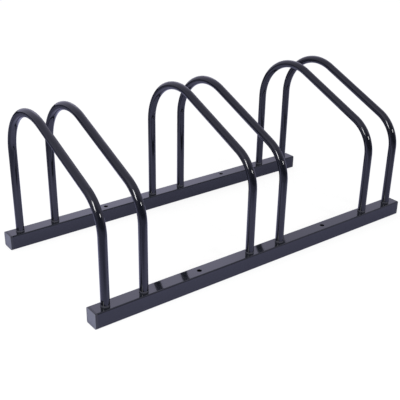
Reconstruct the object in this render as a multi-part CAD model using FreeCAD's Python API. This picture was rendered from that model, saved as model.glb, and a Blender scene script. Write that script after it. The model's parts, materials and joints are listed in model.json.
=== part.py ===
"""Floor stand for three bicycles.

Two square tubes lie on the floor as rails. Six hoops of bent round tube arch from the rear rail to the
front rail in three pairs, and a wheel stands between the two hoops of a pair. Each hoop end holds a
flanged plug that sits on the rail, and a bolt from inside the rail pulls the plug down.

The origin is on the floor in the middle of the stand. X runs along the rails, -Y is the front, where the
hoops are low, and Z is up. Lengths are in millimetres and angles in degrees.
"""
import FreeCAD, Part
import math
import os
from FreeCAD import Vector

# Layout of the stand
BAYS = ["left", "middle", "right"]
BAY_PITCH = 314.0          # from one bay's middle to the next
TYRE_GAP = 60.0            # clear width between the two hoops of a bay
RAIL_SPACING = 330.0       # between the middle lines of the two rails
STAND_HEIGHT = 304.0       # from the floor to the top of a hoop

# Rails, square tube
RAIL_SIDE = 30.0
RAIL_WALL = 1.2
RAIL_CORNER = 2.5          # outer corner radius
FIXING_HOLE = 9.0          # for a screw into the floor, through both walls
ACCESS_CLEARANCE = 1.0     # on the radius, where bolt and washer pass through the rail's underside

# Hoops, bent round tube; the radii are those of the tube's middle line
TUBE_DIAMETER = 16.0
TUBE_WALL = 1.0
TOP_BEND = 96.0
NOSE_BEND = 72.0
SLOPE = 23.3               # fall of the upper run towards the front

# Leg plugs
FLANGE_LIP = 0.3           # how far the flange stands out past the tube, nearly flush
FLANGE_THICKNESS = 3.0
FLANGE_ROUND = 0.3         # no more than the lip, so that the whole tube end has a seat
SPIGOT_LENGTH = 18.0
SPIGOT_LEAD = 1.0          # chamfer that leads the spigot into the tube
SPIGOT_CLEARANCE = 0.05    # on the radius, in the tube

# Bolts with a domed head, and their washers
THREAD = 6.0
THREAD_CLEARANCE = 0.05    # on the radius, in the leg plug
BOLT_LENGTH = 16.0
BOLT_HOLE_CLEARANCE = 0.3  # on the radius, in the rail's wall
TIP_CHAMFER = 0.8
HEAD_DIAMETER = 10.5
HEAD_HEIGHT = 3.3
HEAD_CROWN = 5.5           # diameter of the flat on top of the dome
SOCKET_WIDTH = 4.0         # across the flats of the hexagon
SOCKET_DEPTH = 2.0
WASHER_DIAMETER = 12.0
WASHER_THICKNESS = 1.6
WASHER_CLEARANCE = 0.2     # on the radius, round the bolt

# End plugs, moulded
CAP_THICKNESS = 5.0
CAP_ROUND = 1.2            # on the edges of the outer face
SKIRT_DEPTH = 14.0
SKIRT_WALL = 1.8
SKIRT_MARGIN = 2.0         # between the skirt's end and the nearest access hole
RIB_COUNT = 3
RIB_THICKNESS = 1.0
RIB_HEIGHT = 0.9
RIB_CLEARANCE = 0.05       # between a rib and the rail's inner wall

# Values that follow from those above
ACCESS_HOLE = max(HEAD_DIAMETER, WASHER_DIAMETER) + 2 * ACCESS_CLEARANCE
BOLT_HOLE = THREAD + 2 * BOLT_HOLE_CLEARANCE
WASHER_HOLE = THREAD + 2 * WASHER_CLEARANCE
RAIL_INSIDE = RAIL_SIDE - 2 * RAIL_WALL
RAIL_INSIDE_CORNER = RAIL_CORNER - RAIL_WALL
FLANGE_TOP = RAIL_SIDE + FLANGE_THICKNESS
WASHER_TOP = RAIL_SIDE - RAIL_WALL
BOLT_SEAT = WASHER_TOP - WASHER_THICKNESS
HOOP_SPACING = TYRE_GAP + TUBE_DIAMETER
BAY_PLACES = {bay: (i - (len(BAYS) - 1) / 2) * BAY_PITCH for i, bay in enumerate(BAYS)}
RAIL_PLACES = {"front": -RAIL_SPACING / 2, "rear": RAIL_SPACING / 2}
END_MARGIN = CAP_THICKNESS + SKIRT_DEPTH + SKIRT_MARGIN + ACCESS_HOLE / 2
STAND_LENGTH = (len(BAYS) - 1) * BAY_PITCH + HOOP_SPACING + 2 * END_MARGIN
RAIL_LENGTH = STAND_LENGTH - 2 * CAP_THICKNESS

UP = Vector(0, 0, 1)
SAME = 1e-6                # lengths closer than this are equal


def hoop_places():
    """The X of each hoop, by its name."""
    places = {}
    for bay, middle in BAY_PLACES.items():
        places[bay + "_bay_left"] = middle - HOOP_SPACING / 2
        places[bay + "_bay_right"] = middle + HOOP_SPACING / 2
    return places


def fixing_places():
    """The X of each fixing hole, midway between neighbouring bays."""
    middles = list(BAY_PLACES.values())
    return [(a + b) / 2 for a, b in zip(middles, middles[1:])]


def square_bar(side, corner, start, end):
    """A square bar along the X axis, with its long edges rounded."""
    bar = Part.makeBox(end - start, side, side, Vector(start, -side / 2, -side / 2))
    long_edges = [edge for edge in bar.Edges if edge.BoundBox.XLength > SAME]
    return bar.makeFillet(corner, long_edges)


def upright_rod(diameter, low, high, x=0.0):
    return Part.makeCylinder(diameter / 2, high - low, Vector(x, 0, low), UP)


def turned(points):
    """A solid turned about the Z axis from an outline of (radius, height) points."""
    outline = Part.makePolygon([Vector(radius, 0, height) for radius, height in points + points[:1]])
    return Part.Face(outline).revolve(Vector(), UP, 360)


def make_rail():
    """A rail on the floor along Y = 0, with its bolt holes, access holes and fixing holes."""
    half = RAIL_LENGTH / 2
    tube = square_bar(RAIL_SIDE, RAIL_CORNER, -half, half)
    tube = tube.cut(square_bar(RAIL_INSIDE, RAIL_INSIDE_CORNER, -half, half))
    tube.translate(UP * (RAIL_SIDE / 2))
    holes = [upright_rod(FIXING_HOLE, 0, RAIL_SIDE, x) for x in fixing_places()]
    for x in hoop_places().values():
        holes.append(upright_rod(BOLT_HOLE, RAIL_SIDE / 2, RAIL_SIDE, x))
        holes.append(upright_rod(ACCESS_HOLE, 0, RAIL_SIDE / 2, x))
    return tube.cut(holes)


def make_end_plug():
    """An end plug along the X axis, with its cap's inner face at X = 0 and its ribbed skirt beyond."""
    cap = square_bar(RAIL_SIDE, RAIL_CORNER, -CAP_THICKNESS, 0)
    outer_edges = [edge for edge in cap.Edges if edge.BoundBox.XMax < SAME - CAP_THICKNESS]
    cap = cap.makeFillet(CAP_ROUND, outer_edges)
    skirt_side = RAIL_INSIDE - 2 * RIB_HEIGHT
    pieces = [square_bar(skirt_side, RAIL_INSIDE_CORNER, 0, SKIRT_DEPTH)]
    rib_side = RAIL_INSIDE - 2 * RIB_CLEARANCE
    for i in range(RIB_COUNT):
        start = SKIRT_DEPTH * (i + 1) / (RIB_COUNT + 1) - RIB_THICKNESS / 2
        pieces.append(square_bar(rib_side, RAIL_INSIDE_CORNER, start, start + RIB_THICKNESS))
    hollow = square_bar(skirt_side - 2 * SKIRT_WALL, RAIL_INSIDE_CORNER, 0, SKIRT_DEPTH)
    return cap.fuse(pieces).cut(hollow).removeSplitter()


def hoop_path():
    """The middle line of a hoop in the YZ plane, from the rear foot over the top to the front foot."""
    rear = RAIL_SPACING / 2
    front = -rear
    top_turn = math.radians(90 + SLOPE)
    nose_turn = math.radians(90 - SLOPE)
    top_centre = Vector(0, rear - TOP_BEND, STAND_HEIGHT - TUBE_DIAMETER / 2 - TOP_BEND)
    # The upper run, drawn on at both ends, meets the lines of the legs at these two heights
    rear_corner = top_centre.z + TOP_BEND * math.tan(top_turn / 2)
    nose_corner = rear_corner - RAIL_SPACING * math.tan(math.radians(SLOPE))
    nose_centre = Vector(0, front + NOSE_BEND, nose_corner - NOSE_BEND * math.tan(nose_turn / 2))

    def bend(centre, radius, start, turn):
        angles = [start, start + turn / 2, start + turn]
        return Part.Arc(*[centre + Vector(0, math.cos(a), math.sin(a)) * radius for a in angles])

    top = bend(top_centre, TOP_BEND, 0, top_turn)
    nose = bend(nose_centre, NOSE_BEND, top_turn, nose_turn)
    rear_leg = Part.LineSegment(Vector(0, rear, FLANGE_TOP), top.StartPoint)
    upper_run = Part.LineSegment(top.EndPoint, nose.StartPoint)
    front_leg = Part.LineSegment(nose.EndPoint, Vector(0, front, FLANGE_TOP))
    return Part.Wire([piece.toShape() for piece in (rear_leg, top, upper_run, nose, front_leg)])


def make_hoop():
    """A hoop in the YZ plane, a hollow tube bent along its middle line."""
    path = hoop_path()
    foot = Vector(0, RAIL_SPACING / 2, FLANGE_TOP)

    def swept(diameter):
        section = Part.Wire(Part.makeCircle(diameter / 2, foot, UP))
        return path.makePipeShell([section], True, False)

    return swept(TUBE_DIAMETER).cut(swept(TUBE_DIAMETER - 2 * TUBE_WALL))


def make_leg_plug():
    """A leg plug about the Z axis, with its flange on the rail and its spigot up in the tube."""
    flange = TUBE_DIAMETER / 2 + FLANGE_LIP
    spigot = TUBE_DIAMETER / 2 - TUBE_WALL - SPIGOT_CLEARANCE
    bore = THREAD / 2 + THREAD_CLEARANCE
    spigot_top = FLANGE_TOP + SPIGOT_LENGTH
    plug = turned([
        (bore, RAIL_SIDE),
        (flange, RAIL_SIDE),
        (flange, FLANGE_TOP),
        (spigot, FLANGE_TOP),
        (spigot, spigot_top - SPIGOT_LEAD),
        (spigot - SPIGOT_LEAD, spigot_top),
        (bore, spigot_top),
    ])
    rings = [edge for edge in plug.Edges if isinstance(edge.Curve, Part.Circle)]
    rim = [
        ring for ring in rings
        if abs(ring.Curve.Radius - flange) < SAME and abs(ring.Curve.Center.z - FLANGE_TOP) < SAME
    ]
    return plug.makeFillet(FLANGE_ROUND, rim)


def make_bolt():
    """A bolt about the Z axis, with its head down in the rail and its shank up in the leg plug."""
    shank = THREAD / 2
    tip = BOLT_SEAT + BOLT_LENGTH
    crown = BOLT_SEAT - HEAD_HEIGHT
    rod = turned([
        (0, BOLT_SEAT),
        (shank, BOLT_SEAT),
        (shank, tip - TIP_CHAMFER),
        (shank - TIP_CHAMFER, tip),
        (0, tip),
    ])
    # The head is the slice of a ball between its seat and its crown
    rim = HEAD_DIAMETER / 2
    ball_offset = (rim ** 2 - (HEAD_CROWN / 2) ** 2 - HEAD_HEIGHT ** 2) / (2 * HEAD_HEIGHT)
    ball = Part.makeSphere(math.hypot(rim, ball_offset), Vector(0, 0, BOLT_SEAT + ball_offset))
    head = ball.common(upright_rod(2 * HEAD_DIAMETER, crown, BOLT_SEAT))
    corner = SOCKET_WIDTH / 2 / math.cos(math.pi / 6)
    turns = [math.radians(60 * i) for i in range(7)]
    hexagon = Part.makePolygon([Vector(math.cos(a), math.sin(a), 0) * corner + UP * crown for a in turns])
    socket = Part.Face(hexagon).extrude(UP * SOCKET_DEPTH)
    return rod.fuse(head).cut(socket).removeSplitter()


def make_washer():
    ring = upright_rod(WASHER_DIAMETER, BOLT_SEAT, WASHER_TOP)
    return ring.cut(upright_rod(WASHER_HOLE, BOLT_SEAT, WASHER_TOP))


def placed(shape, x, y):
    copy = shape.copy()
    copy.translate(Vector(x, y, 0))
    return copy


def build():
    """Every node of the stand, by its name."""
    nodes = {}
    hoops = hoop_places()
    rail = make_rail()
    left_plug = make_end_plug()
    left_plug.translate(Vector(-RAIL_LENGTH / 2, 0, RAIL_SIDE / 2))
    right_plug = left_plug.rotated(Vector(), UP, 180)
    bolt = make_bolt()
    washer = make_washer()
    for end, y in RAIL_PLACES.items():
        nodes[end + "_rail"] = placed(rail, 0, y)
        nodes[end + "_rail_left_end_plug"] = placed(left_plug, 0, y)
        nodes[end + "_rail_right_end_plug"] = placed(right_plug, 0, y)
        nodes[end + "_bolts"] = Part.makeCompound([placed(bolt, x, y) for x in hoops.values()])
        nodes[end + "_washers"] = Part.makeCompound([placed(washer, x, y) for x in hoops.values()])
    hoop = make_hoop()
    leg_plug = make_leg_plug()
    for name, x in hoops.items():
        nodes[name + "_hoop"] = placed(hoop, x, 0)
        for end, y in RAIL_PLACES.items():
            nodes[name + "_" + end + "_leg_plug"] = placed(leg_plug, x, y)
    return nodes


os.makedirs("parts", exist_ok=True)
for name, shape in build().items():
    shape.exportStep("parts/%s.step" % name)
print("stand %.1f long, %.1f deep, %.1f high" % (STAND_LENGTH, RAIL_SPACING + RAIL_SIDE, STAND_HEIGHT))
print("hoop tube %.1f long on its middle line" % hoop_path().Length)
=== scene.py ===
# %% [markdown]
# A floor bike stand in gloss black
#
# The real object is a stand for three bicycles. Two square steel tubes lie on the floor as rails, and six
# bent round tubes, the hoops, arch from the rear rail to the front rail in three pairs. The construction
# model already holds every piece at its true size. This lesson models each piece again as by hand, with the
# rounded edges, threads and mouldings that only show close up, and gives it its finish.
#
# The first cell loads the construction model as a fixed frame. It also keeps the model's box.

# %% Load the construction model
import json
import math

import bmesh
import bpy
from mathutils import Matrix, Vector

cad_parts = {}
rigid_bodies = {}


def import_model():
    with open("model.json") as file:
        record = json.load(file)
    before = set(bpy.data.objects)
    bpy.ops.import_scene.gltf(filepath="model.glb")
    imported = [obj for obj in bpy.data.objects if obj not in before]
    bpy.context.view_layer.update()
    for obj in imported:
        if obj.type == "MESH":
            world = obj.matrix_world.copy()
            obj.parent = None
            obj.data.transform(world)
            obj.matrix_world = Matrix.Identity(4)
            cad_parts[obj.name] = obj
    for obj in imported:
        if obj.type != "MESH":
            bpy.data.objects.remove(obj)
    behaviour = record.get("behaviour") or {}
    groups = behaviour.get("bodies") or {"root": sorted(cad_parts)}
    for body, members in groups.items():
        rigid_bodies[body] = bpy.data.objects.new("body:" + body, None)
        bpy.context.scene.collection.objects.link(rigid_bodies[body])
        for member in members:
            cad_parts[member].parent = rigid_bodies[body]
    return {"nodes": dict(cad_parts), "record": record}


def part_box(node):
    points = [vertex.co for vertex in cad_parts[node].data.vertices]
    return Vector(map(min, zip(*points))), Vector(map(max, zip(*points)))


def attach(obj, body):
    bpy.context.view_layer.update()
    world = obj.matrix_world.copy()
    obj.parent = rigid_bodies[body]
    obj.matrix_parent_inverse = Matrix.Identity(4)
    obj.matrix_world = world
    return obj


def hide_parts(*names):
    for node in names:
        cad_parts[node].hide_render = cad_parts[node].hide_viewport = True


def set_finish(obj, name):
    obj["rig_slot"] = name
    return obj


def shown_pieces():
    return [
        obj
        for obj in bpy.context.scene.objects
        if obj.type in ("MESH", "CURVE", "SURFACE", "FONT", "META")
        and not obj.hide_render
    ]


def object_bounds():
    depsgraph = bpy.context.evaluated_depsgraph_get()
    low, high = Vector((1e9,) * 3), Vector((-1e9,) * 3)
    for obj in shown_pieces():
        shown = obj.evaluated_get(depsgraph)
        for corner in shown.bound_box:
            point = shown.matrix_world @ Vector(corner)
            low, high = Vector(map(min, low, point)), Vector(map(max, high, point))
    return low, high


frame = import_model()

cad_low, cad_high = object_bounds()
print("construction model:", len(frame["nodes"]), "nodes, box", tuple(cad_low), tuple(cad_high))

# %% [markdown]
# Where things are
#
# Sizes are written in millimetres and turned into metres with MM. The places of rails and hoops could be
# typed in again, but reading them from the boxes of the construction model is safer: a piece then sits
# where its node is, whatever happens to the model later.

# %% Read the places of rails and hoops
MM = 0.001
BAYS = ("left", "middle", "right")
SIDES = ("left", "right")
ENDS = ("front", "rear")


def box_middle(node):
    low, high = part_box(node)
    return (low + high) / 2


def in_mm(*lengths):
    """Lengths in millimetres, rounded for printing."""
    return [round(length / MM, 2) for length in lengths]


rail_y = {end: box_middle(end + "_rail").y for end in ENDS}
hoop_x = {(bay, side): box_middle("%s_bay_%s_hoop" % (bay, side)).x for bay in BAYS for side in SIDES}
rail_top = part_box("front_rail")[1].z
flange_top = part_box("left_bay_left_hoop")[0].z
print("rails at y", in_mm(*rail_y.values()), "with their top at", in_mm(rail_top), "mm")
print("hoops at x", in_mm(*hoop_x.values()), "standing at", in_mm(flange_top), "mm")

# %% [markdown]
# Choosing what an operator acts on
#
# By hand, you click on the faces or edges that the next operator should change. In code they are chosen by
# where they are. The first helper makes one piece the only one selected, because an operator acts on all
# that is selected, and the loaded frame is selected at first. The second opens a piece for editing, and the
# third picks the points, edges or faces that pass a test.

# %% Helpers that select
def only(piece):
    """Make this piece the only one selected and the active one, out of edit mode."""
    if bpy.context.object and bpy.context.object.mode == "EDIT":
        bpy.ops.object.mode_set(mode="OBJECT")
    bpy.ops.object.select_all(action="DESELECT")
    piece.select_set(True)
    bpy.context.view_layer.objects.active = piece


def edit(piece, kind, action="DESELECT"):
    """Open a piece for editing by VERT, EDGE or FACE, with nothing or all of it selected."""
    only(piece)
    bpy.ops.object.mode_set(mode="EDIT")
    bpy.ops.mesh.select_mode(type=kind)
    bpy.ops.mesh.select_all(action=action)


def pick(kind, test):
    """Select the verts, edges or faces of the open piece that pass the test, and count them."""
    mesh = bmesh.from_edit_mesh(bpy.context.object.data)
    found = [item for item in getattr(mesh, kind) if test(item)]
    for item in found:
        item.select_set(True)
    bmesh.update_edit_mesh(bpy.context.object.data)
    return len(found)


print(sum(item.select_get() for item in bpy.context.view_layer.objects), "objects are selected after loading")

# %% [markdown]
# Starting and closing a piece
#
# Every piece starts as a primitive, added at its size and place. Blender keeps that place in the object's
# transform. Applying it moves the place into the mesh, so that a pattern on object coordinates lies on the
# whole stand in one scale. When a shape is done, points that lie on each other are merged and all faces are
# turned outwards, because Extrude and Spin can leave open seams and faces that look inwards.

# %% Helpers that start and close a piece
NEAR = 0.001 * MM


def settle(name):
    """Name the active object and put its place into its mesh."""
    piece = bpy.context.object
    piece.name = name
    bpy.ops.object.transform_apply(location=True, rotation=True, scale=True)
    return piece


def start_piece(name, add_primitive, **settings):
    """Add a primitive with nothing else selected, and name it."""
    bpy.ops.object.select_all(action="DESELECT")
    add_primitive(**settings)
    return settle(name)


def close_seams():
    """Merge points of the open piece that lie on each other, turn its faces outwards, and close it."""
    bpy.ops.mesh.select_mode(type="VERT")
    bpy.ops.mesh.select_all(action="SELECT")
    bpy.ops.mesh.remove_doubles(threshold=NEAR)
    bpy.ops.mesh.normals_make_consistent(inside=False)
    bpy.ops.object.mode_set(mode="OBJECT")


print("points nearer than", NEAR / MM, "mm will be merged")

# %% [markdown]
# The hoop
#
# A hoop is one length of 16 mm steel tube, bent twice: over the top, and at the nose, where it turns down
# to the front foot. Its line follows from two bend radii, the slope and the height, so the centres of the
# bends are worked out first. Centres set by eye would leave a kink where a straight run meets a bend, and a
# gloss tube shows every kink.

# %% Work out the bends
TUBE_RADIUS = 8 * MM
TOP_BEND = 96 * MM
NOSE_BEND = 72 * MM
STAND_HEIGHT = 304 * MM
SLOPE = math.radians(23.3)

first_hoop = ("left", "left")
first_x = hoop_x[first_hoop]
top_turn = math.pi / 2 + SLOPE
nose_turn = math.pi / 2 - SLOPE
top_centre = Vector((first_x, rail_y["rear"] - TOP_BEND, STAND_HEIGHT - TUBE_RADIUS - TOP_BEND))
rear_corner = top_centre.z + TOP_BEND * math.tan(top_turn / 2)
nose_corner = rear_corner - (rail_y["rear"] - rail_y["front"]) * math.tan(SLOPE)
nose_height = nose_corner - NOSE_BEND * math.tan(nose_turn / 2)
nose_centre = Vector((first_x, rail_y["front"] + NOSE_BEND, nose_height))
across_slope = Vector((0, -math.sin(SLOPE), math.cos(SLOPE)))
upper_run = nose_centre + across_slope * NOSE_BEND - top_centre - across_slope * TOP_BEND
print("top bend about", in_mm(*top_centre), "nose bend about", in_mm(*nose_centre), "mm")
print("upper run", in_mm(upper_run.length), "mm long")

# %% [markdown]
# Bending the tube
#
# A curve with a round bevel could be the tube. But a tube is bent by pushing it round a former, and the
# Spin operator does just that: it carries a ring of points round a centre. So the hoop starts as a ring on
# the rear foot. It is extruded up, spun over the top, extruded down the slope, spun round the nose and
# extruded down to the front foot. With no window, Spin turns against the right-hand rule, so its angle is
# negative.

# %% Bend the first hoop
RING_POINTS = 64
TOP_STEPS = 56
NOSE_STEPS = 32


def straight(run):
    bpy.ops.mesh.extrude_region_move(TRANSFORM_OT_translate={"value": run})


def bend(turn, centre, steps):
    bpy.ops.mesh.spin(steps=steps, angle=-turn, center=centre, axis=(1, 0, 0))


hoop = start_piece("hoop_left_bay_left", bpy.ops.mesh.primitive_circle_add, vertices=RING_POINTS,
                   radius=TUBE_RADIUS, location=(first_x, rail_y["rear"], flange_top))
edit(hoop, "EDGE", action="SELECT")
straight((0, 0, top_centre.z - flange_top))
bend(top_turn, top_centre, TOP_STEPS)
straight(upper_run)
bend(nose_turn, nose_centre, NOSE_STEPS)
straight((0, 0, flange_top - nose_centre.z))
close_seams()
print("hoop reaches y", in_mm(*(end(v.co.y for v in hoop.data.vertices) for end in (min, max))),
      "and z", in_mm(max(v.co.z for v in hoop.data.vertices)), "mm")

# %% [markdown]
# Finishing and handing over
#
# A modifier could stay live on its piece. Applied at once, it leaves a plain mesh for the next operator.
# Sharp edges of real pieces are rounded a little, and Bevel does that on the edges that pass a test.
# Shading is smoothed over gentle edges only, and Weighted Normal keeps large faces flat beside a rounded
# edge. A finished piece is handed over: it rides with the stand, names the slot of its finish, and stands
# for its node of the construction model.

# %% Helpers that finish and hand over
SMOOTH_BELOW = math.radians(30)
SOFT_SEGMENTS = 3


def apply_modifier(piece, kind, **settings):
    only(piece)
    modifier = piece.modifiers.new(kind.lower(), kind)
    for name, value in settings.items():
        setattr(modifier, name, value)
    bpy.ops.object.modifier_apply(modifier=modifier.name)


def round_edges(piece, test, size, segments=SOFT_SEGMENTS):
    """Bevel the edges that pass a test."""
    edit(piece, "EDGE")
    found = pick("edges", test)
    bpy.ops.mesh.bevel(offset=size, segments=segments, affect="EDGES")
    bpy.ops.object.mode_set(mode="OBJECT")
    print(piece.name, "has", found, "edges bevelled by", in_mm(size), "mm")


def smooth(piece):
    """Shade smoothly over gentle edges, and let large flat faces set the shading beside them."""
    only(piece)
    bpy.ops.object.shade_smooth_by_angle(angle=SMOOTH_BELOW)
    apply_modifier(piece, "WEIGHTED_NORMAL", keep_sharp=True)


def hand_over(piece, slot, *nodes):
    """The piece rides with the stand, takes its finish from a slot and stands for its nodes."""
    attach(piece, "root")
    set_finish(piece, slot)
    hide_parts(*nodes)


def count(piece):
    mesh = bmesh.new()
    mesh.from_mesh(piece.data)
    open_edges = sum(not edge.is_manifold for edge in mesh.edges)
    triangles = sum(len(face.verts) - 2 for face in mesh.faces)
    mesh.free()
    return "%s: %d triangles, %d open edges" % (piece.name, triangles, open_edges)


print("edges under", round(math.degrees(SMOOTH_BELOW)), "degrees are shaded smooth")

# %% [markdown]
# The wall of the tube
#
# The tube's wall is 1 mm of steel. Solidify grows it inwards from the bent skin, which leaves the outside
# at 16 mm. A second, thinner hoop inside would need the same bends again. A sawn tube end is never
# knife-sharp, so the outer rims at both feet are rounded a little, which also draws the thin dark line
# between leg and foot.

# %% Give the hoop its wall
TUBE_WALL = 1 * MM
RIM_ROUND = 0.4 * MM


def on_outer_rim(edge):
    for v in edge.verts:
        leg_y = rail_y["front"] if v.co.y < 0 else rail_y["rear"]
        from_axis = math.hypot(v.co.x - first_x, v.co.y - leg_y)
        if abs(v.co.z - flange_top) > NEAR or from_axis < TUBE_RADIUS - TUBE_WALL / 2:
            return False
    return True


apply_modifier(hoop, "SOLIDIFY", thickness=TUBE_WALL, offset=-1, use_even_offset=True)
round_edges(hoop, on_outer_rim, RIM_ROUND)
smooth(hoop)
print(count(hoop))

# %% [markdown]
# Six hoops from one
#
# All six hoops come off the same bender, so one is modelled and copied. Linked copies would share one mesh.
# Here each copy gets its own, so that every hoop can be changed alone.

# %% Copy the hoop to its six places
def copy_to(piece, name, shift):
    """A copy of a piece with its own mesh, moved and with its place in its mesh."""
    only(piece)
    bpy.ops.object.duplicate()
    bpy.ops.transform.translate(value=shift)
    return settle(name)


def set_out(first, shifts, piece_name, slot, node_name):
    """Copy the first piece by every shift that isn't nothing, and hand all of them over."""
    pieces = {key: copy_to(first, piece_name % key, shift) if any(shift) else first
              for key, shift in shifts.items()}
    for key, piece in pieces.items():
        hand_over(piece, slot, node_name % key)
    print(first.name, "is one of", len(pieces))


set_out(hoop, {key: (x - first_x, 0, 0) for key, x in hoop_x.items()},
        "hoop_%s_bay_%s", "black_coat", "%s_bay_%s_hoop")

# %% [markdown]
# The foot of a leg
#
# Each leg ends in a moulded insert. Its flange shows as a low ring between tube and rail, nearly flush with
# the tube, and its spigot is hidden in the tube, with a bore for the bolt. A round part like this can be
# spun from a drawn outline. Built up ring by ring it is easier to follow in code: the outline is a list of
# radii and heights, and each ring is extruded from the one before, resized and lifted, until the last meets
# the first.

# %% Form the first foot
FLANGE_RADIUS = 8.3 * MM
SPIGOT_RADIUS = 6.95 * MM
SPIGOT_LENGTH = 18 * MM
SPIGOT_LEAD = 1 * MM
BORE_RADIUS = 3.05 * MM


def follow_outline(centre, outline):
    """Extrude the selected ring about an upright axis, from point to point of an outline."""
    for (radius, height), (next_radius, next_height) in zip(outline, outline[1:]):
        grow = next_radius / radius
        bpy.ops.mesh.extrude_region()
        bpy.ops.transform.resize(value=(grow, grow, 1), center_override=centre)
        bpy.ops.transform.translate(value=(0, 0, next_height - height))


def ring_by_ring(name, place, outline):
    """A piece that starts as a ring and follows an outline of radii and heights back to that ring."""
    piece = start_piece(name, bpy.ops.mesh.primitive_circle_add, vertices=RING_POINTS,
                        radius=outline[0][0], location=place)
    edit(piece, "EDGE", action="SELECT")
    follow_outline(place, outline + outline[:1])
    close_seams()
    return piece


foot_place = Vector((first_x, rail_y["front"], rail_top))
flange_height = flange_top - rail_top
foot_height = flange_height + SPIGOT_LENGTH
foot = ring_by_ring("foot_left_bay_left_front", foot_place, [
    (BORE_RADIUS, 0), (FLANGE_RADIUS, 0), (FLANGE_RADIUS, flange_height), (SPIGOT_RADIUS, flange_height),
    (SPIGOT_RADIUS, foot_height - SPIGOT_LEAD), (SPIGOT_RADIUS - SPIGOT_LEAD, foot_height),
    (BORE_RADIUS, foot_height)])
print(count(foot))

# %% [markdown]
# Twelve feet
#
# The flange's upper rim is rounded, as on any moulding, so that it catches a fine line of light. The foot
# is then copied to both ends of all six hoops.

# %% Round the flange and set out the feet
FLANGE_ROUND = 0.3 * MM
MOULDED_SEGMENTS = 5


def on_flange_rim(edge):
    return all(abs(v.co.z - flange_top) < NEAR
               and abs((v.co.xy - foot_place.xy).length - FLANGE_RADIUS) < NEAR for v in edge.verts)


round_edges(foot, on_flange_rim, FLANGE_ROUND, MOULDED_SEGMENTS)
smooth(foot)
set_out(foot, {(*key, end): (x - first_x, rail_y[end] - rail_y["front"], 0)
               for key, x in hoop_x.items() for end in ENDS},
        "foot_%s_bay_%s_%s", "plug_plastic", "%s_bay_%s_%s_leg_plug")

# %% [markdown]
# The rails
#
# A rail is a length of 30 mm square tube. Square tube is rolled from strip, so its corners are round. A
# cube is stretched to the rail's size, its four long edges are bevelled, its ends are taken off, and
# Solidify gives the wall. A drawn section pushed along a curve would do too, but its corners would be
# harder to keep exactly round.

# %% Form the front rail
RAIL_SIDE = 30 * MM
RAIL_WALL = 1.2 * MM
RAIL_CORNER = 2.5 * MM
CORNER_SEGMENTS = 8
SQUARE_ON = 0.99

rail_low, rail_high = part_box("front_rail")
rail_length = rail_high.x - rail_low.x
rail = start_piece("rail_front", bpy.ops.mesh.primitive_cube_add, size=1,
                   location=(0, rail_y["front"], RAIL_SIDE / 2), scale=(rail_length, RAIL_SIDE, RAIL_SIDE))
round_edges(rail, lambda edge: edge.calc_length() > rail_length / 2, RAIL_CORNER, CORNER_SEGMENTS)
edit(rail, "FACE")
pick("faces", lambda face: abs(face.normal.x) > SQUARE_ON)
bpy.ops.mesh.delete(type="FACE")
bpy.ops.object.mode_set(mode="OBJECT")
apply_modifier(rail, "SOLIDIFY", thickness=RAIL_WALL, offset=-1, use_even_offset=True)
print(count(rail), "and", in_mm(rail_length), "mm long")

# %% [markdown]
# The holes in a rail
#
# Three kinds of holes are drilled: fixing holes between the bays, right through both walls, bolt holes
# under the feet, and wider holes below them, where bolt and key go in. A Boolean with a set of cylinders
# takes away what a drill takes away. Holes cut into the faces by hand would leave many odd faces to tidy
# up.

# %% Drill the rail
BOLT_HOLE = 3.3 * MM
ACCESS_HOLE = 7 * MM
FIXING_HOLE = 4.5 * MM
DRILL_DEPTH = 10 * MM


def joined(pieces, name):
    only(pieces[0])
    for piece in pieces:
        piece.select_set(True)
    bpy.ops.object.join()
    bpy.context.object.name = name
    return bpy.context.object


def remove(piece):
    only(piece)
    bpy.ops.object.delete()


def combine(piece, tool, operation):
    """Add, take away or keep what a tool overlaps, and remove the tool."""
    apply_modifier(piece, "BOOLEAN", object=tool, operation=operation, solver="EXACT")
    remove(tool)


bay_middles = [sum(hoop_x[bay, side] for side in SIDES) / 2 for bay in BAYS]
drills = [((a + b) / 2, RAIL_SIDE / 2, FIXING_HOLE, 2 * RAIL_SIDE)
          for a, b in zip(bay_middles, bay_middles[1:])]
for x in hoop_x.values():
    drills += [(x, RAIL_SIDE, BOLT_HOLE, DRILL_DEPTH), (x, 0, ACCESS_HOLE, DRILL_DEPTH)]
cutters = [start_piece("drill", bpy.ops.mesh.primitive_cylinder_add, vertices=RING_POINTS, radius=radius,
                       depth=depth, location=(x, rail_y["front"], z)) for x, z, radius, depth in drills]
combine(rail, joined(cutters, "drill_set"), "DIFFERENCE")
print(count(rail), "with", len(drills), "holes")

# %% [markdown]
# Soft rims and the second rail
#
# The coat runs round the rim of a drilled hole and makes it soft. A small bevel on the outer rims shows
# that. The rear rail is a copy of the front rail.

# %% Round the hole rims and set out the rails
HOLE_ROUND = 0.2 * MM
ON_CIRCLE = 5 * NEAR


def on_hole_rim(edge):
    """An edge of a hole in the outside of the rail's top or bottom."""
    for x, z, radius, depth in drills:
        from_axis = [math.hypot(v.co.x - x, v.co.y - rail_y["front"]) for v in edge.verts]
        if all(abs(distance - radius) < ON_CIRCLE for distance in from_axis):
            heights = {round(v.co.z / NEAR) for v in edge.verts}
            return heights in ({0}, {round(RAIL_SIDE / NEAR)})
    return False


round_edges(rail, on_hole_rim, HOLE_ROUND)
smooth(rail)
print(count(rail))
set_out(rail, {end: (0, rail_y[end] - rail_y["front"], 0) for end in ENDS},
        "rail_%s", "black_coat", "%s_rail")

# %% [markdown]
# The end plugs
#
# A moulded plug closes each rail end. Its cap covers the cut edge of the tube, with a rounded rim and a
# slightly sunk panel, so that the face doesn't warp as the plastic cools. The face is extruded and resized
# again and again, always from the face made last, which is how such a shape is blocked out by hand. Inset
# looks like the natural tool for the panel, but here its edges would cross in the small round corners.

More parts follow.
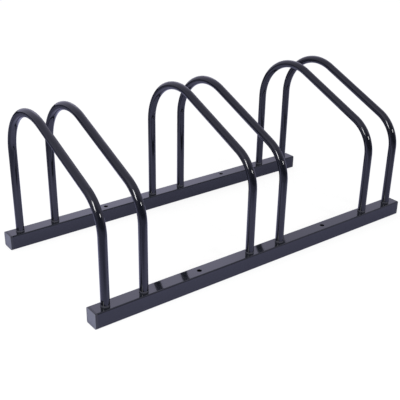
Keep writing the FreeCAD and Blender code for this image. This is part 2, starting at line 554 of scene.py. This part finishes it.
# %% Mould the cap of the first end plug
CAP_THICKNESS = 5 * MM
CAP_ROUND = 1.2 * MM
PANEL_BORDER = 2.4 * MM
PANEL_STEP = 0.5 * MM

cap_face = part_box("front_rail_left_end_plug")[0].x
cap_middle = Vector((cap_face + CAP_THICKNESS / 2, rail_y["front"], RAIL_SIDE / 2))


def next_section(along, side_ratio=1.0):
    """Extrude the selected face along the rail and resize it about the rail's middle line."""
    bpy.ops.mesh.extrude_region()
    bpy.ops.transform.translate(value=(along, 0, 0))
    bpy.ops.transform.resize(value=(1, side_ratio, side_ratio), center_override=cap_middle)


plug = start_piece("end_plug_front_left", bpy.ops.mesh.primitive_cube_add, size=1,
                   location=cap_middle, scale=(CAP_THICKNESS, RAIL_SIDE, RAIL_SIDE))
round_edges(plug, lambda edge: abs(edge.verts[0].co.x - edge.verts[1].co.x) > CAP_THICKNESS / 2,
            RAIL_CORNER, CORNER_SEGMENTS)
round_edges(plug, lambda edge: all(abs(v.co.x - cap_face) < NEAR for v in edge.verts),
            CAP_ROUND, MOULDED_SEGMENTS)
edit(plug, "FACE")
pick("faces", lambda face: face.normal.x < -SQUARE_ON)
panel_side = RAIL_SIDE - 2 * PANEL_BORDER
next_section(0, panel_side / (RAIL_SIDE - 2 * CAP_ROUND))
next_section(PANEL_STEP, 1 - 2 * PANEL_STEP / panel_side)
print("cap with a panel of", in_mm(panel_side), "mm")

# %% [markdown]
# The skirt of the end plug
#
# Inside the rail, the plug has a hollow skirt with three ribs that grip the tube. The back of the cap is
# taken on from section to section: in to the skirt's size, along to a rib, out, along, in again, and at the
# end back down into the hollow. A Boolean could cut the hollow, but one more extrusion does it.

# %% Add the ribbed skirt
SKIRT_SIDE = 25.8 * MM
SKIRT_WALL = 1.8 * MM
SKIRT_DEPTH = 14 * MM
RIB_SIDE = 27.5 * MM
RIB_THICKNESS = 1 * MM
RIB_COUNT = 3

rib_gap = SKIRT_DEPTH / (RIB_COUNT + 1)
rib_ratio = RIB_SIDE / SKIRT_SIDE
bpy.ops.mesh.select_all(action="DESELECT")
pick("faces", lambda face: face.normal.x > SQUARE_ON)
next_section(0, SKIRT_SIDE / RAIL_SIDE)
next_section(rib_gap - RIB_THICKNESS / 2)
for left_to_go in reversed(range(RIB_COUNT)):
    next_section(0, rib_ratio)
    next_section(RIB_THICKNESS)
    next_section(0, 1 / rib_ratio)
    next_section(rib_gap - (RIB_THICKNESS if left_to_go else RIB_THICKNESS / 2))
next_section(0, 1 - 2 * SKIRT_WALL / SKIRT_SIDE)
next_section(-SKIRT_DEPTH)
close_seams()
smooth(plug)
print(count(plug))

# %% [markdown]
# Four rail ends
#
# The right plugs are the left ones turned half round about an upright axis. Mirroring would work too, but
# it turns a mesh inside out. With no window, Rotate ignores the pivot setting, so its centre is given.

# %% Set a plug in each rail end
turned_plug = copy_to(plug, "end_plug_front_right", (0, 0, 0))
bpy.ops.transform.rotate(value=math.pi, orient_axis="Z", center_override=(0, rail_y["front"], 0))
settle("end_plug_front_right")
for side, piece in zip(SIDES, (plug, turned_plug)):
    set_out(piece, {(end, side): (0, rail_y[end] - rail_y["front"], 0) for end in ENDS},
            "end_plug_%s_%s", "plug_plastic", "%s_rail_%s_end_plug")

# %% [markdown]
# The washers
#
# Washers and bolts are hidden in the rails and show only through the access holes from below. A washer is a
# punched ring with softened edges. It is built ring by ring like the foot, then copied to the six feet of
# each rail and joined, because the construction model has one node for the washers of a rail.

# %% Punch the washers
WASHER_RADIUS = 6 * MM
WASHER_HOLE = 3.2 * MM
WASHER_THICKNESS = 1.6 * MM
WASHER_ROUND = 0.25 * MM


def on_washer_rim(edge):
    level_edge = abs(edge.verts[0].co.z - edge.verts[1].co.z) < NEAR
    return level_edge and all(abs(v.co.xy.length - WASHER_RADIUS) < NEAR for v in edge.verts)


def one_per_foot(piece, name):
    """Copy a piece to every foot of each rail, one joined object per rail, and remove the first."""
    for end in ENDS:
        copies = [copy_to(piece, piece.name + "_copy", (x, rail_y[end], 0)) for x in hoop_x.values()]
        group = joined(copies, "%s_%s" % (name, end))
        hand_over(group, "zinc_steel", "%s_%s" % (end, name))
        print(count(group))
    remove(piece)


bolt_seat = RAIL_SIDE - RAIL_WALL - WASHER_THICKNESS
seat_place = Vector((0, 0, bolt_seat))
washer = ring_by_ring("washer", seat_place, [
    (WASHER_HOLE, 0), (WASHER_RADIUS, 0), (WASHER_RADIUS, WASHER_THICKNESS), (WASHER_HOLE, WASHER_THICKNESS)])
round_edges(washer, on_washer_rim, WASHER_ROUND)
smooth(washer)
one_per_foot(washer, "washers")

# %% [markdown]
# The thread of a bolt
#
# A bolt has a domed head with a hexagon socket and a thread that climbs 1 mm each turn. The thread is the
# interesting part, and a texture could only fake it. Here one tooth is drawn as a short outline, and the
# Screw modifier winds it up the axis. Bisect cuts the wound surface off level at both ends and fills the
# cuts.

# %% Wind the thread
PITCH = 1 * MM
CREST = 3 * MM
TOOTH_DEPTH = 0.613 * PITCH
ROOT_FLAT, CREST_FLAT, FLANK_RISE = PITCH / 4, PITCH / 8, PITCH * 5 / 16
BOLT_LENGTH = 16 * MM
IN_HEAD = 0.3 * MM
THREAD_STEPS = 32
SPARE_TURNS = 4

bolt_tip = bolt_seat + BOLT_LENGTH
tooth = [(0, ROOT_FLAT), (TOOTH_DEPTH, FLANK_RISE), (0, CREST_FLAT), (-TOOTH_DEPTH, FLANK_RISE)]
bolt = start_piece("bolt", bpy.ops.mesh.primitive_plane_add, size=PITCH)
edit(bolt, "VERT", action="SELECT")
bpy.ops.mesh.merge(type="CENTER")
bpy.ops.transform.translate(value=(CREST - TOOTH_DEPTH, 0, bolt_seat - PITCH * SPARE_TURNS / 2))
for out, rise in tooth:
    bpy.ops.mesh.extrude_vertices_move(TRANSFORM_OT_translate={"value": (out, 0, rise)})
bpy.ops.object.mode_set(mode="OBJECT")
apply_modifier(bolt, "SCREW", axis="Z", angle=2 * math.pi, screw_offset=PITCH, steps=THREAD_STEPS,
               render_steps=THREAD_STEPS, iterations=round(BOLT_LENGTH / PITCH) + SPARE_TURNS)
edit(bolt, "FACE")
for height, cut_below in ((bolt_seat - IN_HEAD, True), (bolt_tip, False)):
    bpy.ops.mesh.select_all(action="SELECT")
    bpy.ops.mesh.bisect(plane_co=(0, 0, height), plane_no=(0, 0, 1), use_fill=True, threshold=NEAR / 10,
                        clear_inner=cut_below, clear_outer=not cut_below)
close_seams()
print(count(bolt))

# %% [markdown]
# The tip of a bolt
#
# A bolt's tip is chamfered, so that it finds its hole. Bevelling the wound surface would be hard, because
# its end is a spiral. Instead a plain rod gets the chamfer, and a Boolean keeps only the thread inside it.

# %% Chamfer the tip
TIP_CHAMFER = 0.8 * MM
ROD_SLACK = 0.05 * MM
ROD_SPARE = 10 * MM

rod = start_piece("chamfered_rod", bpy.ops.mesh.primitive_cylinder_add, vertices=RING_POINTS,
                  radius=CREST + ROD_SLACK, depth=BOLT_LENGTH + ROD_SPARE,
                  location=(0, 0, (bolt_seat - ROD_SPARE + bolt_tip) / 2))
round_edges(rod, lambda edge: all(abs(v.co.z - bolt_tip) < NEAR for v in edge.verts),
            TIP_CHAMFER + ROD_SLACK, segments=1)
combine(bolt, rod, "INTERSECT")
print(count(bolt))

# %% [markdown]
# The head of a bolt
#
# The head is a part of a ball, cut flat at the crown. Its radii follow from the ball, so the outline is
# worked out and followed ring by ring once more. A six-sided rod then presses the socket for the key, and
# head and thread become one piece.

# %% Dome the head and join it to the thread
HEAD_RADIUS = 5.25 * MM
HEAD_HEIGHT = 3.3 * MM
CROWN_RADIUS = 2.75 * MM
DOME_RINGS = 10
SOCKET_WIDTH = 4 * MM
SOCKET_DEPTH = 2 * MM

ball_offset = (HEAD_RADIUS ** 2 - CROWN_RADIUS ** 2 - HEAD_HEIGHT ** 2) / (2 * HEAD_HEIGHT)
ball_radius = math.hypot(HEAD_RADIUS, ball_offset)
drops = [HEAD_HEIGHT * i / DOME_RINGS for i in range(DOME_RINGS + 1)]
dome = [(math.sqrt(ball_radius ** 2 - (ball_offset + drop) ** 2), -drop) for drop in drops]
head = start_piece("bolt_head", bpy.ops.mesh.primitive_circle_add, vertices=RING_POINTS,
                   radius=HEAD_RADIUS, fill_type="NGON", location=seat_place)
edit(head, "FACE", action="SELECT")
follow_outline(seat_place, dome)
close_seams()
key = start_piece("hexagon_key", bpy.ops.mesh.primitive_cylinder_add, vertices=6,
                  radius=SOCKET_WIDTH / 2 / math.cos(math.pi / 6), depth=2 * SOCKET_DEPTH,
                  location=(0, 0, bolt_seat - HEAD_HEIGHT))
combine(head, key, "DIFFERENCE")
combine(bolt, head, "UNION")
smooth(bolt)
one_per_foot(bolt, "bolts")

# %% [markdown]
# Effects that the finishes share
#
# Three things happen on every real surface here: its tone drifts a little, its skin is not quite flat, and
# some dust settles where it faces up. Each becomes a node group with its own inputs, so that coat, plastic
# and zinc can use the same effect at their own scale. The groups read positions on the object in metres, so
# a pattern keeps its real size and doesn't slide. These helpers add the nodes that come back most often.

# %% Helpers that build node trees
VECTOR_MATH = ("DISTANCE", "DOT_PRODUCT")


def put(tree, value, socket):
    """Put a number, a vector, a colour or another node's output into a socket."""
    if isinstance(value, bpy.types.NodeSocket):
        tree.links.new(value, socket)
    else:
        socket.default_value = value


def feed(tree, node, *values, **named):
    """Fill a node's inputs in their order or by name; underscores stand for the spaces in a name."""
    for socket, value in zip(node.inputs, values):
        put(tree, value, socket)
    for label, value in named.items():
        put(tree, value, node.inputs[label.replace("_", " ")])
    return node


def add_node(tree, kind, *values, **named):
    return feed(tree, tree.nodes.new("ShaderNode" + kind), *values, **named)


def math_node(tree, operation, *values):
    """The result of a Math node, or of a Vector Math node where the operation is one of vectors."""
    node = add_node(tree, "VectorMath" if operation in VECTOR_MATH else "Math")
    node.operation = operation
    return feed(tree, node, *values).outputs["Value"]


def part_of(tree, vector, letter):
    """One of the three numbers of a vector."""
    return add_node(tree, "SeparateXYZ", vector).outputs[letter]


def graded(tree, value, since, until, low=0.0, high=1.0, soft=False):
    """A value that goes from low to high while another one goes from since to until."""
    node = add_node(tree, "MapRange", Value=value, From_Min=since, From_Max=until, To_Min=low, To_Max=high)
    node.interpolation_type = "SMOOTHSTEP" if soft else "LINEAR"
    return node.outputs["Result"]


def noise(tree, place, per_metre, detail, roughness=0.5):
    """The grey value of a noise texture."""
    return add_node(tree, "TexNoise", Vector=place, Scale=per_metre, Detail=detail,
                    Roughness=roughness).outputs["Fac"]


def new_group(name, output, vectors, **values):
    """A node group with vector inputs, number inputs with their usual values, and one output."""
    group = bpy.data.node_groups.new(name, "ShaderNodeTree")
    add_socket = group.interface.new_socket
    for label in vectors:
        add_socket(name=label, in_out="INPUT", socket_type="NodeSocketVector")
    for label, value in values.items():
        socket = add_socket(name=label.replace("_", " "), in_out="INPUT", socket_type="NodeSocketFloat")
        socket.default_value = value
    add_socket(name=output, in_out="OUTPUT", socket_type="NodeSocketFloat")
    return group, group.nodes.new("NodeGroupInput").outputs, group.nodes.new("NodeGroupOutput").inputs[output]


print(len(bpy.data.node_groups), "node groups so far")

# %% [markdown]
# Drifting tone
#
# No batch of powder or plastic has exactly one tone. Broad patches and fine specks are two noises of
# different scale, added up with the patches counting more. One noise with much detail would tie the two
# scales together.

# %% Build the drifting tone
PATCH_SHARE = 0.7

tone_drift, given, drift_out = new_group(
    "tone_drift", "Drift", ["Position"], Patches_per_metre=12.0, Specks_per_metre=400.0)
patches = noise(tone_drift, given["Position"], given["Patches per metre"], detail=3)
specks = noise(tone_drift, given["Position"], given["Specks per metre"], detail=2)
broad = math_node(tone_drift, "MULTIPLY", patches, PATCH_SHARE)
fine = math_node(tone_drift, "MULTIPLY", specks, 1 - PATCH_SHARE)
put(tone_drift, math_node(tone_drift, "ADD", broad, fine), drift_out)
print(tone_drift.name, len(tone_drift.nodes), "nodes")

# %% [markdown]
# Uneven skin
#
# A sprayed, moulded or plated skin has soft ripples with a finer grain on them. The group gives a height,
# and each finish turns that into a slightly tilted normal with a Bump node. Real displacement would need
# millions of faces for ripples a few thousandths of a millimetre deep.

# %% Build the uneven skin
skin_relief, given, height_out = new_group(
    "skin_relief", "Height", ["Position"], Ripples_per_metre=300.0, Grain_per_metre=2500.0, Grain_share=0.1)
ripples = noise(skin_relief, given["Position"], given["Ripples per metre"], detail=1)
grain = noise(skin_relief, given["Position"], given["Grain per metre"], detail=2)
fine = math_node(skin_relief, "MULTIPLY", grain, given["Grain share"])
put(skin_relief, math_node(skin_relief, "ADD", ripples, fine), height_out)
print(skin_relief.name, len(skin_relief.nodes), "nodes")

# %% [markdown]
# Settled dust
#
# Dust lies where a surface faces up, as single grains that gather in drifts. So three masks are multiplied:
# one from the normal, one from the peaks of a fine noise, and one from a broad noise. The normal comes in
# as an input, because it belongs to the material's surface.

# %% Build the settled dust
DUST_SLOPE = (0.5, 1.0)
DUST_GRAINS = (0.5, 0.75)
DRIFTS_PER_METRE = 18

settled_dust, given, dust_out = new_group(
    "settled_dust", "Dust", ["Position", "Normal"], Grains_per_metre=900.0)
facing_up = graded(settled_dust, part_of(settled_dust, given["Normal"], "Z"), *DUST_SLOPE)
grains = noise(settled_dust, given["Position"], given["Grains per metre"], detail=3, roughness=0.7)
drifts = noise(settled_dust, given["Position"], DRIFTS_PER_METRE, detail=2)
lying = math_node(settled_dust, "MULTIPLY", facing_up, graded(settled_dust, grains, *DUST_GRAINS))
put(settled_dust, math_node(settled_dust, "MULTIPLY", lying, drifts), dust_out)
print(settled_dust.name, len(settled_dust.nodes), "nodes")

# %% [markdown]
# Parts of a finish
#
# Every finish starts with a Principled shader and the position on the object, places the shared effects at
# its own scale, and mixes its tones. It could be typed out node by node each time. With helpers, only its
# own numbers are left to read.

# %% Helpers that mix a finish
def new_finish(name):
    """A material with its node tree, its shader and its position on the object."""
    material = bpy.data.materials.new(name)
    material.use_nodes = True
    tree = material.node_tree
    place = add_node(tree, "TexCoord").outputs["Object"]
    return material, tree, tree.nodes["Principled BSDF"], place


def add_effect(tree, group, place, **values):
    """Place a node group in a material and give it its values."""
    node = add_node(tree, "Group")
    node.node_tree = group
    if "Normal" in node.inputs:
        values["Normal"] = add_node(tree, "NewGeometry").outputs["Normal"]
    return feed(tree, node, Position=place, **values).outputs[0]


def mixed(tree, factor, low, high):
    """A colour that goes from low to high with the factor; each is a colour or a node's output."""
    node = add_node(tree, "Mix", Factor=factor)
    node.data_type = "RGBA"
    for label, colour in (("A", low), ("B", high)):
        socket = next(s for s in node.inputs if s.name == label and s.type == "RGBA")
        put(tree, (*colour, 1) if isinstance(colour, tuple) else colour, socket)
    return next(s for s in node.outputs if s.type == "RGBA")


def relief(tree, height, depth):
    """A normal that is tilted by a height worth depth metres."""
    return add_node(tree, "Bump", Strength=1, Distance=depth, Height=height).outputs["Normal"]


print("effects at hand:", [group.name for group in bpy.data.node_groups])

# %% [markdown]
# The gloss black coat
#
# Rails and hoops are powder coated: the powder melts into one smooth, hard skin. It is a deep black with a
# little blue in it, and what is seen on it is mostly reflection. The rails are given a base a shade lighter
# than the hoops, and a mask by height chooses between the two tones. Up close the skin has a faint orange
# peel, ripples a few millimetres wide and a few thousandths of a millimetre deep, which make mirrored edges
# waver. So the finish is a dark base, a low and slightly drifting roughness, and that relief. A clear coat
# layer would add a second reflection that powder coat doesn't have.

# %% Mix the black coat
HOOP_BLACK = ((0.0036, 0.0040, 0.0066), (0.0056, 0.0062, 0.0102))
RAIL_BLACK = ((0.0070, 0.0078, 0.0112), (0.0100, 0.0110, 0.0158))
COAT_ROUGHNESS = (0.02, 0.08)
COAT_DUST = (0.16, 0.16, 0.17)
COAT_DUST_SHARE = 0.08
DUST_DULLING = 0.10
PEEL_DEPTH = 0.004 * MM

coat, tree, shader, place = new_finish("gloss_black_coat")
drift = add_effect(tree, tone_drift, place, Patches_per_metre=9.0, Specks_per_metre=350.0)
dust = add_effect(tree, settled_dust, place, Grains_per_metre=1100.0)
peel = add_effect(tree, skin_relief, place, Ripples_per_metre=260.0, Grain_per_metre=2600.0, Grain_share=0.04)
on_hoop = math_node(tree, "GREATER_THAN", part_of(tree, place, "Z"), (rail_top + flange_top) / 2)
black = mixed(tree, on_hoop, mixed(tree, drift, *RAIL_BLACK), mixed(tree, drift, *HOOP_BLACK))
dust_share = math_node(tree, "MULTIPLY", dust, COAT_DUST_SHARE)
gloss = graded(tree, drift, 0, 1, *COAT_ROUGHNESS)
dulling = math_node(tree, "MULTIPLY", dust, DUST_DULLING)
feed(tree, shader, Base_Color=mixed(tree, dust_share, black, COAT_DUST), IOR=1.52,
     Roughness=math_node(tree, "ADD", gloss, dulling), Normal=relief(tree, peel, PEEL_DEPTH))
print(coat.name, len(tree.nodes), "nodes")

# %% [markdown]
# The moulded plastic
#
# The plugs in rail ends and legs are moulded in dark grey plastic, duller than the coat. The mould makes
# the difference in smoothness between their faces: the feet come out dull, and the sides of an end plug's
# cap come from polished steel and are smoother. Those sides are also painted darker, as painted shade, and
# the cap's outer face, from a spark-eroded mould, is painted paler, as painted light. Three materials could
# do that. One is enough, because it knows where it is on the object: one mask begins a few millimetres
# before the stand's ends, and one in the last millimetre.

# %% Mix the plug plastic
FOOT_GREY = ((0.040, 0.041, 0.053), (0.052, 0.053, 0.068))
# painted shade: the sides of an end plug's cap are given a darker grey
PAINTED_SHADE_CAP_GREY = ((0.0215, 0.0220, 0.0295), (0.0295, 0.0305, 0.0405))
# painted light: the outer face of an end plug is given a paler grey
PAINTED_LIGHT_FACE_GREY = ((0.094, 0.098, 0.126), (0.116, 0.121, 0.155))
PLASTIC_DUST = (0.20, 0.20, 0.21)
PLASTIC_DUST_SHARE = 0.06
PLASTIC_ROUGHNESS = (0.42, 0.58)
POLISH = 0.5
GRAIN_DEPTH = 0.012 * MM
CAP_ZONE = 10 * MM
FACE_DEPTH = 0.8 * MM
FACE_FADE = 0.2 * MM

plastic, tree, shader, place = new_finish("moulded_grey_plastic")
drift = add_effect(tree, tone_drift, place, Patches_per_metre=60.0, Specks_per_metre=1500.0)
dust = add_effect(tree, settled_dust, place, Grains_per_metre=1400.0)
grain = add_effect(tree, skin_relief, place, Ripples_per_metre=700.0, Grain_per_metre=3600.0, Grain_share=0.8)
from_middle = math_node(tree, "ABSOLUTE", part_of(tree, place, "X"))
face_start = cad_high.x - FACE_DEPTH
outer_face = graded(tree, from_middle, face_start, face_start + FACE_FADE)
on_cap = math_node(tree, "GREATER_THAN", from_middle, cad_high.x - CAP_ZONE)
polished = math_node(tree, "SUBTRACT", on_cap, outer_face)
# painted shade on the cap sides, painted light on the outer face
foot_or_painted_shade_cap = mixed(tree, on_cap, mixed(tree, drift, *FOOT_GREY), mixed(tree, drift, *PAINTED_SHADE_CAP_GREY))
grey_with_painted_light_and_shade = mixed(tree, outer_face, foot_or_painted_shade_cap, mixed(tree, drift, *PAINTED_LIGHT_FACE_GREY))
dust_share = math_node(tree, "MULTIPLY", dust, PLASTIC_DUST_SHARE)
dull = graded(tree, drift, 0, 1, *PLASTIC_ROUGHNESS)
polish = graded(tree, polished, 0, 1, 1.0, POLISH)
feed(tree, shader, Base_Color=mixed(tree, dust_share, grey_with_painted_light_and_shade, PLASTIC_DUST), IOR=1.5,
     Specular_IOR_Level=0.25, Roughness=math_node(tree, "MULTIPLY", dull, polish),
     Normal=relief(tree, grain, GRAIN_DEPTH))
print(plastic.name, len(tree.nodes), "nodes")

# %% [markdown]
# The zinc-plated steel
#
# Bolts and washers are plated with zinc and left bright, with the faint blue and straw tints of the bath.
# Zinc is a metal, so its colour goes into the reflection. The plating is satin: it follows the drawn and
# rolled steel below, and its roughness drifts more than its colour. A plain grey metal would look like
# chrome.

# %% Mix the zinc plating
ZINC_TINTS = ((0.56, 0.59, 0.65), (0.68, 0.66, 0.60))
ZINC_ROUGHNESS = (0.22, 0.42)
SATIN_DEPTH = 0.004 * MM

zinc, tree, shader, place = new_finish("bright_zinc_plating")
drift = add_effect(tree, tone_drift, place, Patches_per_metre=220.0, Specks_per_metre=2600.0)
skin = add_effect(tree, skin_relief, place, Ripples_per_metre=1800.0, Grain_per_metre=7000.0, Grain_share=0.3)
feed(tree, shader, Base_Color=mixed(tree, drift, *ZINC_TINTS), Metallic=1.0,
     Roughness=graded(tree, drift, 0, 1, *ZINC_ROUGHNESS), Normal=relief(tree, skin, SATIN_DEPTH))
print(zinc.name, len(tree.nodes), "nodes")

# %% [markdown]
# Putting the finishes on
#
# Each piece already names its slot, so a table from slot to finish dresses all of them in one loop. The
# nodes of the construction model get the same finishes, so that a hidden node would look right if it were
# shown.

# %% Put the finishes on the pieces
FINISHES = {"black_coat": coat, "plug_plastic": plastic, "zinc_steel": zinc}
dressed = [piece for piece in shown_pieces() if "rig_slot" in piece]
for piece in dressed:
    piece.data.materials.clear()
    piece.data.materials.append(FINISHES[piece["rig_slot"]])
for row in frame["record"]["subparts"]:
    node = frame["nodes"][row["node"]]
    node.material_slots[0].material = FINISHES[row["material_slot"]]
print(len(dressed), "pieces dressed")

# %% [markdown]
# The camera
#
# The camera is in front of the stand's left end, a little above it. Its place, turn and lens were worked
# out from the edges of the rails and the middle lines of the tubes in the picture. A Track To constraint
# could point it, but not with the picture's slight roll. A matrix built from three directions, right, up
# and back, gives all three turns and shows what a camera's rotation really is.

# %% Set up the camera
CAMERA_PLACE = Vector((-848.03, -1060.17, 693.70)) * MM
AZIMUTH, ELEVATION = -37.5990, 24.8442
ROLL = math.radians(1.1083)
LENS = 65.189
SENSOR = 36.0


def direction(azimuth, elevation):
    """A unit vector; azimuth 0 is the front, 90 the right, and elevation goes up from level."""
    a, e = math.radians(azimuth), math.radians(elevation)
    return Vector((math.sin(a) * math.cos(e), -math.cos(a) * math.cos(e), math.sin(e)))


back = direction(AZIMUTH, ELEVATION)
level = direction(AZIMUTH + 90, 0)
upright = back.cross(level)
right = math.cos(ROLL) * level + math.sin(ROLL) * upright
up = math.cos(ROLL) * upright - math.sin(ROLL) * level
camera = bpy.data.objects.new("camera", bpy.data.cameras.new("camera"))
bpy.context.scene.collection.objects.link(camera)
camera.data.lens = LENS
camera.data.sensor_width = SENSOR
camera.matrix_world = Matrix.Translation(CAMERA_PLACE) @ Matrix((right, up, back)).transposed().to_4x4()
bpy.context.scene.camera = camera
print("camera at", in_mm(*camera.location), "mm, lens", LENS, "mm")

# %% [markdown]
# The floor
#
# The stand is on a sheet of white paper, which is all that the camera sees behind it. A part of the floor's
# white is given to camera rays as plain emission through Light Path, and the rest is the paper's own
# shading, so the stand keeps a faint shadow. Brighter lamps could make the paper white too, but they would
# bleach the stand. Mirrored rays get a part of that emission as well, in a cool white.

# %% Lay the floor
FLOOR_SIZE = 16.0
WHITE = (1.0, 1.0, 1.0)
SEEN_WHITE = 0.8
MIRRORED_WHITE = 0.4
MIRRORED_STRENGTH = 1.4
COOL_PAPER = (0.635, 0.635, 1.0)

floor = start_piece("floor", bpy.ops.mesh.primitive_plane_add, size=FLOOR_SIZE)
paper = bpy.data.materials.new("white_paper")
floor.data.materials.append(paper)
paper.use_nodes = True
tree = paper.node_tree
tree.nodes.remove(tree.nodes["Principled BSDF"])
rays = add_node(tree, "LightPath").outputs
seen = math_node(tree, "MAXIMUM", rays["Is Camera Ray"], rays["Is Transmission Ray"])
mirrored = rays["Is Glossy Ray"]
tint = mixed(tree, mirrored, WHITE, COOL_PAPER)
shaded = add_node(tree, "BsdfDiffuse", Color=tint).outputs["BSDF"]
strength = graded(tree, mirrored, 0, 1, 1.0, MIRRORED_STRENGTH)
white = add_node(tree, "Emission", Color=tint, Strength=strength).outputs["Emission"]
white_share = math_node(tree, "ADD", math_node(tree, "MULTIPLY", seen, SEEN_WHITE),
                        math_node(tree, "MULTIPLY", mirrored, MIRRORED_WHITE))
lit = add_node(tree, "MixShader", white_share, shaded, white).outputs["Shader"]
print("floor", FLOOR_SIZE, "m across")

# %% [markdown]
# The floor in the mirror
#
# A gloss black tube shows little but what it mirrors, and its legs mirror the floor. So the floor's mirror
# image is graded as in a real studio: an oval of lit paper, the dim floor round it, which fades with
# distance, light that falls off to the right, shade beside the rails, and a soft painted shadow before the
# left end. This gives the legs their dark streaks. Dark cards on the floor could do it too, but the camera
# would see them.

# %% Grade the mirrored floor
PAPER_MIDDLE = Vector((0.60, 0.03, 0.0))
PAPER_REACH = (1.21, 0.57)
PAPER_EDGE = (0.90, 1.17)
INSIDE_LEVEL, OUTSIDE_LEVEL = 0.98, 0.33
DISTANT = (1.1, 4.0)
DISTANT_LEVEL = 0.15
FALL_TOWARDS = direction(100, 0)
FALL_OFF = (-0.45, 0.47)
FALL_LEVEL = 0.67
RAIL_SHADE = (0.03, 0.095)
RAIL_SHADE_LEVEL = 0.85
# painted shadow: a soft dark patch on the floor before the left end, seen only by mirrored rays
PAINTED_SHADOW_MIDDLE = Vector((-0.39, -0.32, 0.0))
PAINTED_SHADOW_REACH = 0.155
PAINTED_SHADOW_LEVEL = 0.5

place = add_node(tree, "TexCoord").outputs["Object"]
oval = add_node(tree, "Mapping", Vector=place, Location=PAPER_MIDDLE, Scale=(*PAPER_REACH, 1))
oval.vector_type = "TEXTURE"
outwards = math_node(tree, "DISTANCE", oval.outputs["Vector"], (0, 0, 0))
to_right = math_node(tree, "DOT_PRODUCT", place, FALL_TOWARDS)
from_painted_shadow = math_node(tree, "DISTANCE", place, PAINTED_SHADOW_MIDDLE)
from_centre_line = math_node(tree, "ABSOLUTE", part_of(tree, place, "Y"))
from_rail = math_node(tree, "ABSOLUTE", math_node(tree, "SUBTRACT", from_centre_line, rail_y["rear"]))
brightness = graded(tree, outwards, *PAPER_EDGE, INSIDE_LEVEL, OUTSIDE_LEVEL, soft=True)
for share in (graded(tree, outwards, *DISTANT, 1.0, DISTANT_LEVEL, soft=True),
              graded(tree, to_right, *FALL_OFF, 1.0, FALL_LEVEL, soft=True),
              graded(tree, from_rail, *RAIL_SHADE, RAIL_SHADE_LEVEL, 1.0, soft=True),
              graded(tree, from_painted_shadow, 0.0, PAINTED_SHADOW_REACH, PAINTED_SHADOW_LEVEL, 1.0, soft=True)):
    brightness = math_node(tree, "MULTIPLY", brightness, share)
print("paper lit to", PAPER_REACH, "m about", [round(v, 2) for v in PAPER_MIDDLE])

# %% [markdown]
# Joining the two floors
#
# The grading is mixed in for mirrored rays alone, by laying a black, unlit surface over the paper where it
# should be dim. Scaling the paper's colour would do too, but this way its own nodes stay as they are.

# %% Dim the floor to mirrored rays
unlit = add_node(tree, "BsdfDiffuse", Color=(0, 0, 0, 1)).outputs["BSDF"]
dimming = math_node(tree, "MULTIPLY", mirrored, math_node(tree, "SUBTRACT", 1.0, brightness))
whole = add_node(tree, "MixShader", dimming, lit, unlit).outputs["Shader"]
feed(tree, tree.nodes["Material Output"], Surface=whole)
print(paper.name, len(tree.nodes), "nodes")

# %% [markdown]
# The room
#
# The room lights the stand evenly from all sides, like a light tent, and would be white in the picture if
# any of it were in view. Its mirror image is graded: pale walls, the dark room round the camera, which
# makes the tubes' cores black, a lit wall behind the stand with a brighter glow on it, which makes the
# rails' tops pale, and a soft halo high on the left. A half dome of cards could do this too, but the
# world's own shader needs no objects: it compares the ray's direction with that of each light.

# %% Grade the room
DARK_SIDE = direction(-15, -15)
DARK_SPREAD = (0.0, 0.85)
WALL_LEVEL, DARK_LEVEL = 0.70, 0.02
COOL_ROOM = (0.81, 0.79, 1.04)
ROOM_LIGHTS = {
    "rear wall": dict(towards=direction(165, 25), spread=(0.5, 0.9), level=0.32),
    "glow on it": dict(towards=direction(149, 31.5), spread=(0.972, 0.996), level=0.65),
    "halo": dict(towards=direction(-80, 40), spread=(0.85, 0.99), level=0.4),
}

world = bpy.data.worlds.new("white_room")
world.use_nodes = True
bpy.context.scene.world = world
tree = world.node_tree
mirrored = add_node(tree, "LightPath").outputs["Is Glossy Ray"]
ray = add_node(tree, "TexCoord").outputs["Generated"]
to_dark = math_node(tree, "DOT_PRODUCT", ray, DARK_SIDE)
room = graded(tree, to_dark, *DARK_SPREAD, WALL_LEVEL, DARK_LEVEL, soft=True)
for name, light in ROOM_LIGHTS.items():
    to_light = math_node(tree, "DOT_PRODUCT", ray, light["towards"])
    share = graded(tree, to_light, *light["spread"], 0.0, light["level"], soft=True)
    room = math_node(tree, "ADD", room, share)
    print(name, "towards", [round(v, 2) for v in light["towards"]])
strength = math_node(tree, "MULTIPLY_ADD", mirrored, math_node(tree, "SUBTRACT", room, 1.0), 1.0)
feed(tree, tree.nodes["Background"], Color=mixed(tree, mirrored, WHITE, COOL_ROOM), Strength=strength)

# %% [markdown]
# The lamps
#
# Two softboxes are at the front, a tall one near the stand's left end and a strong one far away to the
# right. They shape the shadow, and each draws one thin white streak on every nose bend. Area lamps are the
# natural choice, because their size sets both the softness of the shadow and the shape of the streak. The
# right one is far away so that no rail corner mirrors it. The Standard view transform shows a colour as it
# is written.

# %% Set up the two softboxes
LAMPS = {
    "left_softbox": dict(towards=direction(-69, 26.5), distance=1.5, width=0.23, height=0.48, power=8.0),
    "front_softbox": dict(towards=direction(10, 27.5), distance=6.0, width=0.90, height=0.80, power=64.0),
}
for name, lamp in LAMPS.items():
    data = bpy.data.lights.new(name, "AREA")
    data.shape = "RECTANGLE"
    data.size, data.size_y = lamp["width"], lamp["height"]
    data.energy = lamp["power"]
    softbox = bpy.data.objects.new(name, data)
    bpy.context.scene.collection.objects.link(softbox)
    softbox.location = lamp["towards"] * lamp["distance"] + Vector((0, 0, STAND_HEIGHT / 2))
    softbox.rotation_euler = lamp["towards"].to_track_quat("Z", "Y").to_euler()
    softbox.visible_camera = False
    print(name, "at", [round(v, 2) for v in softbox.location], "m")
bpy.context.scene.view_settings.view_transform = "Standard"
